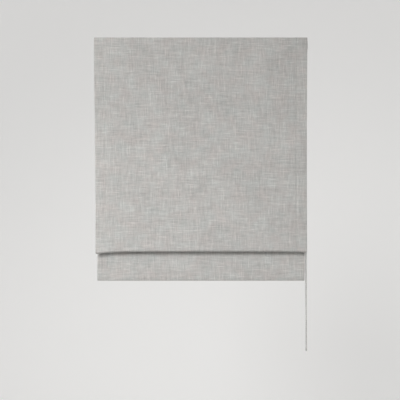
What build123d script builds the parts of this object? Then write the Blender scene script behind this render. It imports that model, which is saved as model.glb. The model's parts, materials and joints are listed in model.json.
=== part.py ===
from build123d import *
from math import cos, pi, radians, sin
import os

# A chain driven roman blind, hung with its lowest rod partly raised.
# Origin: midway between the two fixing holes, on the plane that the brackets are screwed to.
# X runs along the blind, the room side faces -Y, +Z is up. Millimetres.

# The cloth
blind_width = 610.0
fabric_top_z = -2.5
face_thickness = 1.2
hem_turning = 1.0
lining_thickness = 0.8
lining_gap = 0.2
side_hem_width = 30.0
lining_side_margin = 15.0
rod_spacing = 240.0
hem_drop = 192.0
stack_gap = 28.0
rod_line_setback = 7.6
fold_swell = 5.0
fold_turn_radius = 5.0
crease_radius = 1.0
band_draw_in = 3.0
band_cut_clearance = 0.1
sheet_bend_radius = 60.0

# The rods in their pockets
rod_diameter = 4.0
pocket_clearance = 0.3
pocket_seat = 0.1
rod_cap_gap = 0.3
rod_cap_length = 6.0
rod_cap_wall = 0.8
rod_cap_clearance = 0.1

# The clips that hold the rods to the cords
guide_inset = 100.0
clip_wall = 1.2
clip_clearance = 0.15
clip_width = 6.0
clip_mouth_angle = 132.0
eyelet_radius = 3.9
eyelet_wire = 1.1
eyelet_root = 0.6
socket_height = 5.0
socket_radius = 3.0
plug_radius = 2.0
plug_clearance = 0.1
plug_stem = 4.0
plug_head_height = 3.0
plug_head_radius = 2.6
cord_in_plug = 3.0

# The bottom bar in its hem
bar_height = 22.0
bar_thickness = 2.5
bar_clearance = 0.3
bar_end_margin = 12.0
bar_edge_radius = 1.0
hem_pocket_height = 32.0
hem_corner_radius = 2.5
hem_bend_radius = 8.0

# The touch tape that holds the cloth to the headrail
tape_height = 24.0
tape_thickness = 1.2
tape_end_margin = 7.0

# The headrail, its brackets and its end cap
rail_depth = 38.0
rail_height = 27.0
rail_wall = 1.2
rail_lip = 5.0
rail_top_z = -3.5
rail_left_margin = 5.0
rail_right_margin = 17.0
cord_slot_length = 20.0
cord_slot_width = 7.0
bracket_inset = 65.0
fixing_hole_radius = 2.1
bracket_width = 25.0
bracket_sheet = 1.5
bracket_hook = 3.4
bracket_bend = 0.5
bracket_clearance = 0.3
end_cap_thickness = 2.5
end_cap_edge = 0.8
end_cap_plug = 14.0
end_cap_wall = 1.5
fit_clearance = 0.3

# The shaft, spools and cords
shaft_width = 5.5
shaft_clearance = 0.1
lift_cord_diameter = 1.4
spool_core_radius = 7.0
spool_flange_radius = 10.0
spool_flange_thickness = 1.2
spool_length = 24.0
journal_radius = 5.0
journal_length = 3.2
running_clearance = 0.08
flange_clearance = 0.5
side_play = 0.3
cradle_base = 1.5
cradle_wall = 2.0
cradle_land = 3.0
cradle_cheek = 9.0
cradle_mouth = 9.0
wound_turns = 6
turn_lap = 0.1
cord_leave_drop = 5.0
spool_offset = 4.0
turn_clearance = 0.05
bush_radius = 4.6

# The chain drive
bead_diameter = 4.5
bead_pitch = 6.0
link_diameter = 1.2
chain_beads = 304
chain_turned_out = 5.3
lead_beads = 1
loop_turn_slack = 0.2
wheel_pockets = 12
pocket_play = 0.2
wheel_tread = 5.0
wheel_flange_thickness = 0.4
wheel_flange_height = 1.2
wheel_groove_width = 2.0
wheel_groove_depth = 0.9
wheel_hub_radius = 5.6
housing_length = 13.8
housing_plug = 16.0
housing_wall = 1.5
spring_room_radius = 11.5
post_wall = 1.0
spring_wire = 1.0
spring_turns = 7
spring_lap = 0.05
cover_wall = 0.8
cover_clearance = 0.4
cover_skirt = 14.0
cover_edge = 0.7
connector_length = 13.0
connector_wall = 0.7
connector_height = -300.0

# Places that follow from the sizes
half_width = blind_width / 2
sheet_stack = face_thickness + hem_turning + lining_gap + lining_thickness
rail_front_y = -rail_depth / 2
rail_bottom_z = rail_top_z - rail_height
rail_floor_z = rail_bottom_z + rail_wall
rail_left_x = -half_width + rail_left_margin
rail_right_x = half_width - rail_right_margin
fixing_x = half_width - bracket_inset
face_top_y = rail_front_y - 2 * tape_thickness - sheet_stack
face_rod_y = face_top_y + rod_line_setback
pocket_bore = rod_diameter / 2 + pocket_clearance
pocket_radius = pocket_bore + lining_thickness
pocket_from_face = sheet_stack + pocket_radius - lining_thickness + pocket_seat
rod_y = face_rod_y + pocket_from_face
rod_1_z = fabric_top_z - rod_spacing
rod_2_z = rod_1_z - rod_spacing
rod_3_z = rod_2_z - stack_gap
fabric_bottom_z = rod_3_z - hem_drop
clip_bore = pocket_radius + clip_clearance
clip_radius = clip_bore + clip_wall
eyelet_offset = clip_radius + eyelet_radius + eyelet_wire - eyelet_root
cord_x = half_width - guide_inset
cord_y = rod_y + eyelet_offset
crease_z = rod_3_z - pocket_from_face - crease_radius
fold_z = (rod_2_z + rod_3_z + pi * fold_turn_radius - rod_spacing) / 2 - fold_turn_radius
fold_front_y = face_rod_y - fold_swell
fold_back_y = fold_front_y + 2 * fold_turn_radius
band_y = cord_y + crease_radius
bar_front_y = band_y + face_thickness + hem_turning + bar_clearance
hem_back_y = bar_front_y + bar_thickness + bar_clearance + face_thickness
hem_top_y = band_y + sheet_stack + face_thickness + lining_gap
bar_bottom_z = fabric_bottom_z + face_thickness + bar_clearance
hem_top_z = fabric_bottom_z + hem_pocket_height
lining_end_z = bar_bottom_z + bar_height + bar_clearance
wrap_radius = spool_core_radius + lift_cord_diameter / 2 + turn_clearance
axle_y = cord_y + wrap_radius
axle_z = rail_floor_z + cradle_base + flange_clearance + spool_flange_radius
pitch_radius = bead_pitch / 2 / sin(pi / wheel_pockets)
housing_right_x = rail_right_x + housing_length
flange_out = wheel_tread / 2 + wheel_flange_thickness
wheel_x = housing_right_x + side_play + flange_out
pocket_end_x = half_width - lining_side_margin
band_cut_y = fold_back_y - sheet_stack - band_cut_clearance


def offset_points(points, radii, distance):
    """Corners and radii of the line that runs beside a path, to its left where distance is positive."""
    steps = [(b - a).normalized() for a, b in zip(points, points[1:])]
    sides = [Vector(-s.Y, s.X) for s in steps]
    moved = [points[0] + sides[0] * distance]
    moved_radii = []
    for before, after, step, turn_to, point, radius in zip(
        sides, sides[1:], steps, steps[1:], points[1:], radii
    ):
        moved.append(point + (before + after) * (distance / (1 + before.dot(after))))
        left_turn = step.X * turn_to.Y - step.Y * turn_to.X > 0
        moved_radii.append(radius - distance if left_turn else radius + distance)
    moved.append(points[-1] + sides[-1] * distance)
    return moved, moved_radii


def sheet_section(corners, radii, near, far):
    """The section of a bent sheet that lies between two distances beside a path."""
    points = [Vector(*corner) for corner in corners]
    near_points, near_radii = offset_points(points, radii, near)
    far_points, far_radii = offset_points(points, radii, far)
    with BuildLine() as outline:
        FilletPolyline(*near_points, radius=near_radii)
        FilletPolyline(*far_points, radius=far_radii)
        Line(near_points[0], far_points[0])
        Line(near_points[-1], far_points[-1])
    make_face(outline.edges())


def rod_section(radius, bore, places):
    """Rings around the rods' places, in the YZ plane."""
    with Locations(*places):
        Circle(radius)
        Circle(bore, mode=Mode.SUBTRACT)


# The front line of the cloth, from the headrail down, round the fold, up over the crease and
# down the band to the hem pocket, in the YZ plane
hang = [
    (face_top_y, fabric_top_z),
    (face_top_y, rail_bottom_z),
    (face_rod_y, rod_1_z),
    (face_rod_y, rod_2_z),
    (fold_front_y, fold_z),
    (fold_back_y, fold_z),
    (band_y - 2 * crease_radius, crease_z + crease_radius),
    (band_y, crease_z + crease_radius),
]
hang_radii = 3 * [sheet_bend_radius] + 2 * [fold_turn_radius] + 2 * [crease_radius]
hem = [
    (band_y, fabric_bottom_z),
    (hem_back_y, fabric_bottom_z),
    (hem_back_y, bar_bottom_z + bar_height),
    (hem_top_y, hem_top_z),
]
hem_radii = 2 * [hem_corner_radius] + [hem_bend_radius]
lining_foot = (band_y, lining_end_z)
rod_places = [(rod_y, rod_1_z), (rod_y, rod_2_z), (cord_y, rod_3_z)]

# The face cloth, with its side hems turned to the back and the hem pocket at its foot
with BuildPart() as face_fabric:
    with BuildSketch(Plane.YZ):
        sheet_section(hang + hem, hang_radii + hem_radii, 0, face_thickness)
    extrude(amount=half_width, both=True)
    for hem_left_x in (-half_width, half_width - side_hem_width):
        with BuildSketch(Plane.YZ.offset(hem_left_x)):
            sheet_section(
                hang + [lining_foot], hang_radii, face_thickness / 2, face_thickness + hem_turning
            )
        extrude(amount=side_hem_width)
    band_cut_depth = hem_back_y + face_thickness - band_cut_y
    band_cut_height = rod_3_z - fabric_bottom_z + face_thickness
    with Locations((0, band_cut_y + band_cut_depth / 2, rod_3_z - band_cut_height / 2)):
        with GridLocations(2 * half_width, 0, 2, 1):
            Box(2 * band_draw_in, band_cut_depth, band_cut_height, mode=Mode.SUBTRACT)

# The lining, with a pocket for each rod
with BuildPart() as lining:
    with BuildSketch(Plane.YZ):
        sheet_section(
            hang + [lining_foot], hang_radii, sheet_stack - lining_thickness, sheet_stack
        )
        rod_section(pocket_radius, pocket_bore, rod_places)
    extrude(amount=pocket_end_x, both=True)

rod_half_length = pocket_end_x + rod_cap_gap + rod_cap_length - rod_cap_wall
rod_cap_bore = rod_diameter / 2 + rod_cap_clearance
both_sides = (("left", -1), ("right", 1))
finished = {"face_fabric": face_fabric, "lining": lining}

# A rod for each line of the cloth, and the cups that close its ends
for number, place in enumerate(rod_places, 1):
    with BuildPart() as rod:
        with BuildSketch(Plane.YZ):
            with Locations(place):
                Circle(rod_diameter / 2)
        extrude(amount=rod_half_length, both=True)
    with BuildPart() as rod_caps:
        for side in (-1, 1):
            with BuildSketch(Plane.YZ.offset(side * (rod_half_length + rod_cap_wall))):
                with Locations(place):
                    Circle(rod_cap_bore + rod_cap_wall)
            extrude(amount=-side * rod_cap_length)
            with BuildSketch(Plane.YZ.offset(side * rod_half_length)):
                with Locations(place):
                    Circle(rod_cap_bore)
            extrude(amount=-side * rod_cap_length, mode=Mode.SUBTRACT)
    finished[f"rod_{number}"] = rod
    finished[f"rod_{number}_end_caps"] = rod_caps


def clip_section(place, mouth_direction):
    """A ring that springs over a rod pocket, with a mouth for the cloth to pass."""
    centre = Vector(*place)
    half_mouth = clip_mouth_angle / 2
    beyond_ring = 2 * clip_radius / cos(radians(half_mouth))
    reach = Vector(beyond_ring, 0)
    with Locations(centre):
        Circle(clip_radius)
        Circle(clip_bore, mode=Mode.SUBTRACT)
    with BuildLine() as mouth:
        Polyline(
            centre,
            centre + reach.rotate(Axis.Z, mouth_direction - half_mouth),
            centre + reach.rotate(Axis.Z, mouth_direction + half_mouth),
            close=True,
        )
    make_face(mouth.edges(), mode=Mode.SUBTRACT)


# The guides on the two upper rods, each with an eyelet that the cord runs through
for number, place in enumerate(rod_places[:2], 1):
    with BuildPart() as cord_guides:
        for side in (-1, 1):
            with BuildSketch(Plane.YZ.offset(side * cord_x - clip_width / 2)):
                clip_section(place, 180)
            extrude(amount=clip_width)
            with Locations((side * cord_x, place[0] + eyelet_offset, place[1])):
                Torus(eyelet_radius, eyelet_wire)
    finished[f"rod_{number}_cord_guides"] = cord_guides

# The clips on the lowest rod, each with a socket that lets go of its cord under a pull
socket_root_z = rod_3_z + clip_radius - eyelet_root
socket_top_z = socket_root_z + socket_height
plug_bottom_z = socket_top_z - plug_stem
plug_top_z = socket_top_z + plug_head_height
with BuildPart() as release_sockets:
    for side in (-1, 1):
        with BuildSketch(Plane.YZ.offset(side * cord_x - clip_width / 2)):
            clip_section(rod_places[2], -90)
        extrude(amount=clip_width)
    with BuildSketch(Plane.XY.offset(socket_root_z)):
        with Locations((-cord_x, cord_y), (cord_x, cord_y)):
            Circle(socket_radius)
    extrude(amount=socket_height)
    with BuildSketch(Plane.XY.offset(socket_top_z)):
        with Locations((-cord_x, cord_y), (cord_x, cord_y)):
            Circle(plug_radius + plug_clearance)
    extrude(amount=-plug_stem - plug_clearance, mode=Mode.SUBTRACT)
finished["release_sockets"] = release_sockets

# The lift cords, from their spools down through the eyelets into a plug, and the turns on the spools
cord_bottom_z = plug_top_z - cord_in_plug
cord_top_z = axle_z - cord_leave_drop
for name, side in both_sides:
    with BuildPart() as cord_plug:
        with BuildSketch(Plane.XY.offset(plug_bottom_z)):
            with Locations((side * cord_x, cord_y)):
                Circle(plug_radius)
        extrude(amount=plug_stem)
        with BuildSketch(Plane.XY.offset(socket_top_z)):
            with Locations((side * cord_x, cord_y)):
                Circle(plug_head_radius)
        extrude(amount=plug_head_height)
        with BuildSketch(Plane.XY.offset(plug_top_z)):
            with Locations((side * cord_x, cord_y)):
                Circle(lift_cord_diameter / 2 + plug_clearance)
        extrude(amount=-cord_in_plug, mode=Mode.SUBTRACT)
    with BuildPart() as lift_cord:
        with BuildSketch(Plane.XY.offset(cord_bottom_z)):
            with Locations((side * cord_x, cord_y)):
                Circle(lift_cord_diameter / 2)
        extrude(amount=cord_top_z - cord_bottom_z)
    turn_pitch = lift_cord_diameter - turn_lap
    with BuildPart() as cord_turns:
        with BuildSketch(Plane.XY.offset(axle_z)):
            for turn in range(wound_turns):
                with Locations((side * (cord_x + turn * turn_pitch), axle_y - wrap_radius)):
                    RegularPolygon(lift_cord_diameter / 2, 8, major_radius=False, rotation=22.5)
        revolve(axis=Axis((0, axle_y, axle_z), (1, 0, 0)))
    finished[f"{name}_cord_plug"] = cord_plug
    finished[f"{name}_lift_cord"] = lift_cord
    finished[f"{name}_cord_turns"] = cord_turns

# The bar that weighs down the hem
with BuildPart() as bottom_bar:
    with BuildSketch(Plane.YZ):
        with Locations((bar_front_y + bar_thickness / 2, bar_bottom_z + bar_height / 2)):
            RectangleRounded(bar_thickness, bar_height, bar_edge_radius)
    extrude(amount=half_width - bar_end_margin, both=True)
finished["bottom_bar"] = bottom_bar

# The headrail: an open channel with turned-in lips and a slot for each cord
with BuildPart() as headrail:
    rail_middle = (0, rail_bottom_z + rail_height / 2)
    with BuildSketch(Plane.YZ.offset(rail_left_x)):
        with Locations(rail_middle):
            RectangleRounded(rail_depth, rail_height, rail_wall)
            Rectangle(rail_depth - 2 * rail_wall, rail_height - 2 * rail_wall, mode=Mode.SUBTRACT)
        with Locations((0, rail_top_z - rail_wall / 2)):
            Rectangle(rail_depth - 2 * rail_lip, rail_wall, mode=Mode.SUBTRACT)
    extrude(amount=rail_right_x - rail_left_x)
    with BuildSketch(Plane.XY.offset(rail_bottom_z)):
        with Locations((-cord_x, cord_y), (cord_x, cord_y)):
            SlotOverall(cord_slot_length, cord_slot_width)
    extrude(amount=rail_wall, mode=Mode.SUBTRACT)
finished["headrail"] = headrail

# The two strips of touch tape
tape_middle_z = rail_bottom_z + rail_height / 2
for name, back_y in (("hook_tape", rail_front_y), ("loop_tape", rail_front_y - tape_thickness)):
    with BuildPart() as tape:
        with BuildSketch(Plane.YZ):
            with Locations((back_y - tape_thickness / 2, tape_middle_z)):
                Rectangle(tape_thickness, tape_height)
        extrude(amount=half_width - tape_end_margin, both=True)
    finished[name] = tape

# The spring-steel brackets that the headrail's lips clip over
lip_under_z = rail_top_z - rail_wall
leg_y = rail_depth / 2 - rail_lip - bracket_clearance
hook_top_z = lip_under_z - bracket_clearance
bracket_line = [
    (-leg_y - bracket_hook, hook_top_z),
    (-leg_y, hook_top_z),
    (-leg_y, 0),
    (leg_y, 0),
    (leg_y, hook_top_z),
    (leg_y + bracket_hook, hook_top_z),
]
bracket_radii = [bracket_bend, bracket_bend + bracket_sheet]
for name, side in both_sides:
    middle_x = side * fixing_x
    with BuildPart() as bracket:
        with BuildSketch(Plane.YZ.offset(middle_x - bracket_width / 2)):
            sheet_section(bracket_line, bracket_radii + bracket_radii[::-1], 0, -bracket_sheet)
        extrude(amount=bracket_width)
        with Locations((middle_x, 0, 0)):
            Hole(fixing_hole_radius)
    finished[f"{name}_bracket"] = bracket

# The cap on the idle end, with the boss that the shaft's bush turns in
plug_depth = rail_depth - 2 * rail_wall - 2 * fit_clearance
plug_height = rail_height - 2 * rail_wall - 2 * fit_clearance
with BuildPart() as end_cap:
    with BuildSketch(Plane.YZ.offset(rail_left_x - end_cap_thickness)):
        with Locations(rail_middle):
            RectangleRounded(rail_depth, rail_height, rail_wall)
    extrude(amount=end_cap_thickness)
    fillet(end_cap.faces().sort_by(Axis.X)[0].edges(), end_cap_edge)
    with BuildSketch(Plane.YZ.offset(rail_left_x)):
        with Locations(rail_middle):
            Rectangle(plug_depth, plug_height)
            Rectangle(
                plug_depth - 2 * end_cap_wall, plug_height - 2 * end_cap_wall, mode=Mode.SUBTRACT
            )
        with Locations((axle_y, axle_z)):
            Circle(bush_radius + running_clearance + end_cap_wall)
    extrude(amount=end_cap_plug)
    with BuildSketch(Plane.YZ.offset(rail_left_x + end_cap_plug)):
        with Locations((axle_y, axle_z)):
            Circle(bush_radius + running_clearance)
    extrude(amount=-end_cap_plug, mode=Mode.SUBTRACT)
finished["end_cap"] = end_cap

# The square shaft, and the bush on its idle end
shaft_left_x = rail_left_x + fit_clearance
shaft_right_x = wheel_x + wheel_tread / 2
with BuildPart() as drive_shaft:
    with BuildSketch(Plane.YZ.offset(shaft_left_x)):
        with Locations((axle_y, axle_z)):
            Rectangle(shaft_width, shaft_width)
    extrude(amount=shaft_right_x - shaft_left_x)
finished["drive_shaft"] = drive_shaft
socket_width = shaft_width + 2 * shaft_clearance
with BuildPart() as shaft_bush:
    with BuildSketch(Plane.YZ.offset(shaft_left_x)):
        with Locations((axle_y, axle_z)):
            Circle(bush_radius)
            Rectangle(socket_width, socket_width, mode=Mode.SUBTRACT)
    extrude(amount=end_cap_plug)
finished["shaft_bush"] = shaft_bush

# The spools, and the cradles in the headrail that they turn in
flange_x = spool_length / 2
wall_x = flange_x + side_play
cradle_length = 2 * (wall_x + cradle_wall)
cradle_depth = rail_depth - 2 * rail_wall - 2 * fit_clearance
for name, side in both_sides:
    middle_x = side * (cord_x + spool_offset)
    with BuildPart() as spool:
        with BuildSketch(Plane.YZ.offset(middle_x)):
            with Locations((axle_y, axle_z)):
                Circle(spool_core_radius)
        extrude(amount=flange_x, both=True)
        for end in (-1, 1):
            with BuildSketch(Plane.YZ.offset(middle_x + end * flange_x)):
                with Locations((axle_y, axle_z)):
                    Circle(spool_flange_radius)
            extrude(amount=-end * spool_flange_thickness)
        with BuildSketch(Plane.YZ.offset(middle_x)):
            with Locations((axle_y, axle_z)):
                Circle(journal_radius)
        extrude(amount=flange_x + journal_length, both=True)
        with BuildSketch(Plane.YZ.offset(middle_x)):
            with Locations((axle_y, axle_z)):
                Rectangle(socket_width, socket_width)
        extrude(amount=flange_x + journal_length, both=True, mode=Mode.SUBTRACT)
    finished[f"{name}_spool"] = spool
    bearing_radius = journal_radius + running_clearance
    land_radius = bearing_radius + cradle_land
    with BuildPart() as cradle:
        with BuildSketch(Plane.YZ.offset(middle_x - cradle_length / 2)):
            with Locations((0, rail_floor_z + cradle_base / 2)):
                Rectangle(cradle_depth, cradle_base)
            for edge in (-1, 1):
                with Locations(
                    (edge * (cradle_depth - cradle_base) / 2, rail_floor_z + cradle_cheek / 2)
                ):
                    Rectangle(cradle_base, cradle_cheek)
        extrude(amount=cradle_length)
        for end in (-1, 1):
            with BuildSketch(Plane.YZ.offset(middle_x + end * wall_x)):
                with Locations((axle_y, axle_z)):
                    Circle(land_radius)
                with Locations((axle_y, (rail_floor_z + axle_z) / 2)):
                    Rectangle(2 * land_radius, axle_z - rail_floor_z)
                with Locations((axle_y, axle_z)):
                    Circle(bearing_radius, mode=Mode.SUBTRACT)
                with Locations((axle_y, axle_z + land_radius / 2)):
                    Rectangle(cradle_mouth, land_radius, mode=Mode.SUBTRACT)
            extrude(amount=end * cradle_wall)
        with BuildSketch(Plane.XY.offset(rail_floor_z)):
            with Locations((side * cord_x, cord_y)):
                SlotOverall(cord_slot_length - 2 * cradle_base, cord_slot_width - cradle_base)
        extrude(amount=cradle_base, mode=Mode.SUBTRACT)
    finished[f"{name}_cradle"] = cradle

# The chain wheel: a pocket for each bead, a groove for the links, and a hub on the shaft
groove_radius = pitch_radius - wheel_groove_depth
hub_left_x = rail_right_x + housing_wall + side_play
with BuildPart() as chain_wheel:
    with BuildSketch(Plane.XY.offset(axle_z)):
        with BuildLine():
            Polyline(
                (hub_left_x, axle_y),
                (hub_left_x, axle_y + wheel_hub_radius),
                (wheel_x - flange_out, axle_y + wheel_hub_radius),
                (wheel_x - flange_out, axle_y + pitch_radius + wheel_flange_height),
                (wheel_x - wheel_tread / 2, axle_y + pitch_radius + wheel_flange_height),
                (wheel_x - wheel_tread / 2, axle_y + pitch_radius),
                (wheel_x - wheel_groove_width / 2, axle_y + pitch_radius),
                (wheel_x - wheel_groove_width / 2, axle_y + groove_radius),
                (wheel_x + wheel_groove_width / 2, axle_y + groove_radius),
                (wheel_x + wheel_groove_width / 2, axle_y + pitch_radius),
                (wheel_x + wheel_tread / 2, axle_y + pitch_radius),
                (wheel_x + wheel_tread / 2, axle_y + pitch_radius + wheel_flange_height),
                (wheel_x + flange_out, axle_y + pitch_radius + wheel_flange_height),
                (wheel_x + flange_out, axle_y),
                close=True,
            )
        make_face()
    revolve(axis=Axis((0, axle_y, axle_z), (1, 0, 0)))
    wheel_plane = Plane(origin=(wheel_x, axle_y, axle_z), x_dir=(0, 1, 0), z_dir=(1, 0, 0))
    with Locations(wheel_plane):
        with PolarLocations(pitch_radius, wheel_pockets):
            Sphere(bead_diameter / 2 + pocket_play, mode=Mode.SUBTRACT)
    with BuildSketch(Plane.YZ.offset(hub_left_x)):
        with Locations((axle_y, axle_z)):
            Rectangle(socket_width, socket_width)
    extrude(amount=wheel_x + flange_out - hub_left_x, mode=Mode.SUBTRACT)
finished["chain_wheel"] = chain_wheel

# The drive's housing, which plugs into the headrail and holds the clutch spring on its post
post_bore = wheel_hub_radius + running_clearance
post_radius = post_bore + post_wall
with BuildPart() as drive_housing:
    with BuildSketch(Plane.YZ.offset(rail_right_x)):
        with Locations(rail_middle):
            RectangleRounded(rail_depth, rail_height, rail_wall)
    extrude(amount=housing_length)
    with BuildSketch(Plane.YZ.offset(housing_right_x)):
        with Locations((axle_y, axle_z)):
            Circle(spring_room_radius)
    extrude(amount=housing_wall - housing_length, mode=Mode.SUBTRACT)
    with BuildSketch(Plane.YZ.offset(rail_right_x)):
        with Locations((axle_y, axle_z)):
            Circle(post_radius)
    extrude(amount=housing_length - side_play)
    with BuildSketch(Plane.YZ.offset(rail_right_x)):
        with Locations((axle_y, axle_z)):
            Circle(post_bore)
    extrude(amount=housing_length, mode=Mode.SUBTRACT)
    with BuildSketch(Plane.YZ.offset(rail_right_x)):
        with Locations(rail_middle):
            Rectangle(plug_depth, plug_height)
            Rectangle(
                plug_depth - 2 * housing_wall, plug_height - 2 * housing_wall, mode=Mode.SUBTRACT
            )
    extrude(amount=-housing_plug)
finished["drive_housing"] = drive_housing

# The wrap spring that grips the post until the chain is pulled
spring_radius = post_radius + spring_wire / 2 + turn_clearance
spring_pitch = spring_wire - spring_lap
with BuildPart() as clutch_spring:
    with BuildSketch(Plane.XY.offset(axle_z)):
        for turn in range(spring_turns):
            first_x = rail_right_x + housing_wall + spring_wire
            with Locations((first_x + turn * spring_pitch, axle_y - spring_radius)):
                RegularPolygon(spring_wire / 2, 8, major_radius=False, rotation=22.5)
    revolve(axis=Axis((0, axle_y, axle_z), (1, 0, 0)))
finished["clutch_spring"] = clutch_spring

# The cover over the wheel, open below for the chain
cover_bore = pitch_radius + bead_diameter / 2 + cover_clearance
cover_radius = cover_bore + cover_wall
cover_inner_x = wheel_x + flange_out + side_play
with BuildPart() as drive_cover:
    for radius, end_x, way in (
        (cover_radius, cover_inner_x + cover_wall, Mode.ADD),
        (cover_bore, cover_inner_x, Mode.SUBTRACT),
    ):
        with BuildSketch(Plane.YZ.offset(housing_right_x)):
            with Locations((axle_y, axle_z)):
                Circle(radius)
            with Locations((axle_y, axle_z - cover_skirt / 2)):
                Rectangle(2 * radius, cover_skirt)
            if way == Mode.SUBTRACT:
                with Locations((axle_y, axle_z - cover_skirt)):
                    Rectangle(2 * radius, cover_skirt)
        extrude(amount=end_x - housing_right_x, mode=way)
        if way == Mode.ADD:
            outer_edges = drive_cover.faces().sort_by(Axis.X)[-1].edges()
            chamfer(outer_edges, cover_edge)
finished["drive_cover"] = drive_cover

# The bead chain: seated beads over the wheel, then a loop that hangs free
arc_beads = wheel_pockets // 2 + 1
run_beads = (chain_beads - 2 * (arc_beads - 1)) // 2
loop_bottom_z = axle_z - run_beads * bead_pitch
run_top_z = axle_z - (lead_beads + 0.5) * bead_pitch
front_run_y = axle_y - pitch_radius
rear_run_y = axle_y + pitch_radius
chain_route = [
    (wheel_x, front_run_y, run_top_z),
    (wheel_x, front_run_y, loop_bottom_z - pitch_radius),
    (wheel_x + chain_turned_out, rear_run_y, loop_bottom_z - pitch_radius),
    (wheel_x, rear_run_y, run_top_z),
]
loop_turn_radius = pitch_radius - loop_turn_slack
with BuildPart() as bead_chain:
    with BuildLine():
        FilletPolyline(*chain_route, radius=loop_turn_radius)
    with BuildSketch(Plane(origin=chain_route[0], z_dir=(0, 0, -1))):
        Circle(bead_diameter / 2)
    sweep()
    with Locations(wheel_plane):
        with PolarLocations(pitch_radius, arc_beads, 0, 180, endpoint=True):
            Sphere(bead_diameter / 2)
    lead_middle_z = axle_z - (lead_beads + 1) * bead_pitch / 2
    with Locations(Plane(origin=(wheel_x, axle_y, lead_middle_z), x_dir=(0, 1, 0), z_dir=(1, 0, 0))):
        with GridLocations(2 * pitch_radius, bead_pitch, 2, lead_beads):
            Sphere(bead_diameter / 2)
    with BuildSketch(Plane.XY.offset(axle_z)):
        with Locations((wheel_x, front_run_y)):
            Circle(link_diameter / 2)
    revolve(axis=Axis((0, axle_y, axle_z), (1, 0, 0)), revolution_arc=-180)
    with BuildSketch(Plane.XY.offset(axle_z)):
        with Locations((wheel_x, front_run_y), (wheel_x, rear_run_y)):
            Circle(link_diameter / 2)
    extrude(amount=run_top_z - axle_z)
finished["bead_chain"] = bead_chain

# The clear joint that closes the loop, on its rear run
run_share = (connector_height - run_top_z) / (chain_route[2][2] - run_top_z)
with BuildPart() as chain_connector:
    with BuildSketch(Plane.XY.offset(connector_height)):
        with Locations((wheel_x + chain_turned_out * run_share, rear_run_y)):
            Circle(bead_diameter / 2 + plug_clearance + connector_wall)
            Circle(bead_diameter / 2 + plug_clearance, mode=Mode.SUBTRACT)
    extrude(amount=connector_length / 2, both=True)
finished["chain_connector"] = chain_connector

os.makedirs("parts", exist_ok=True)
for name, piece in finished.items():
    piece.part.label = name
    export_step(piece.part, f"parts/{name}.step")
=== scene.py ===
# %% [markdown]
# # A roman blind with one raised fold
# The blind hangs from a slim headrail. Its cloth falls flat to a soft fold, and its last panel
# shows below the fold as a band. We dress a finished mechanical model, the frame. Its rigid pieces
# stay where they are and get finishes. Its plain cloth, cords and chain are made again here, with
# the shapes that real cloth and beads have.

# %% Load the frame
import bmesh
import bpy
import json
from math import cos, exp, pi, sin, tan
from mathutils import Matrix, Vector, noise
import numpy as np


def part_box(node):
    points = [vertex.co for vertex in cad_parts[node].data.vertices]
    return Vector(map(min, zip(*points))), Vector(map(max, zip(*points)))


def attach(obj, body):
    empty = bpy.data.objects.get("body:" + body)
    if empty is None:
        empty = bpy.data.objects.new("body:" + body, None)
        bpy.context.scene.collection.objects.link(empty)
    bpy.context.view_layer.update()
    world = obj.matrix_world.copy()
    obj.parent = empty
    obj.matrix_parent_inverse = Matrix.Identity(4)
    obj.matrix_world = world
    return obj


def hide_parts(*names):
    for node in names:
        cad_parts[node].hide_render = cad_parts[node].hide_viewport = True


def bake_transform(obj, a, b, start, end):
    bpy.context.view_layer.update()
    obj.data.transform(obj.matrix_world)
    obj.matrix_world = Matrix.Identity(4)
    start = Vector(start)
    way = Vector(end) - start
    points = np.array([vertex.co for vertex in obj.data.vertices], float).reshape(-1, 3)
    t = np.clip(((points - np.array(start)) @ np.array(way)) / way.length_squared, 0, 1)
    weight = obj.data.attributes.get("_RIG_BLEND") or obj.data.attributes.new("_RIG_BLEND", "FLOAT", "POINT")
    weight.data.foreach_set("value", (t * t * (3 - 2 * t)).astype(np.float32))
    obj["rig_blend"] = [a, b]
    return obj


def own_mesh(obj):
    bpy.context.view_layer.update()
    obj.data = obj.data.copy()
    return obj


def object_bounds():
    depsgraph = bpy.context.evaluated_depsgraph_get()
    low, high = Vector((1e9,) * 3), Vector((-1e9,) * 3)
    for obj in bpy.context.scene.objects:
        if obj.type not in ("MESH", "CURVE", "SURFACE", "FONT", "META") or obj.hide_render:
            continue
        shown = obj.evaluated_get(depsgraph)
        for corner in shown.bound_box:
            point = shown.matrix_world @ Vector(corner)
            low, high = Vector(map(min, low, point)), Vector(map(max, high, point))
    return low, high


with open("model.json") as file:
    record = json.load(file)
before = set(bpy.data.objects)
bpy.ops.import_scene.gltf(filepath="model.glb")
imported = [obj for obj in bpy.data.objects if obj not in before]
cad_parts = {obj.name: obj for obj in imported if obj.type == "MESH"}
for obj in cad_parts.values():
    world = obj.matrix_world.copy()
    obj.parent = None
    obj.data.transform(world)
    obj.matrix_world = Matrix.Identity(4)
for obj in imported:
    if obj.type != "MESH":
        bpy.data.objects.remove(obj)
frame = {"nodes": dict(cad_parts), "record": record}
cad_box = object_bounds()
print("frame nodes:", len(frame["nodes"]))

# %% [markdown]
# ## The camera
# The blind is seen square on, from a metre and a half. A tilted camera would make its upright
# sides lean. So the camera is level, its height is set by how far we can see under the fold, and
# a small downward shift of the lens does the framing.

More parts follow.
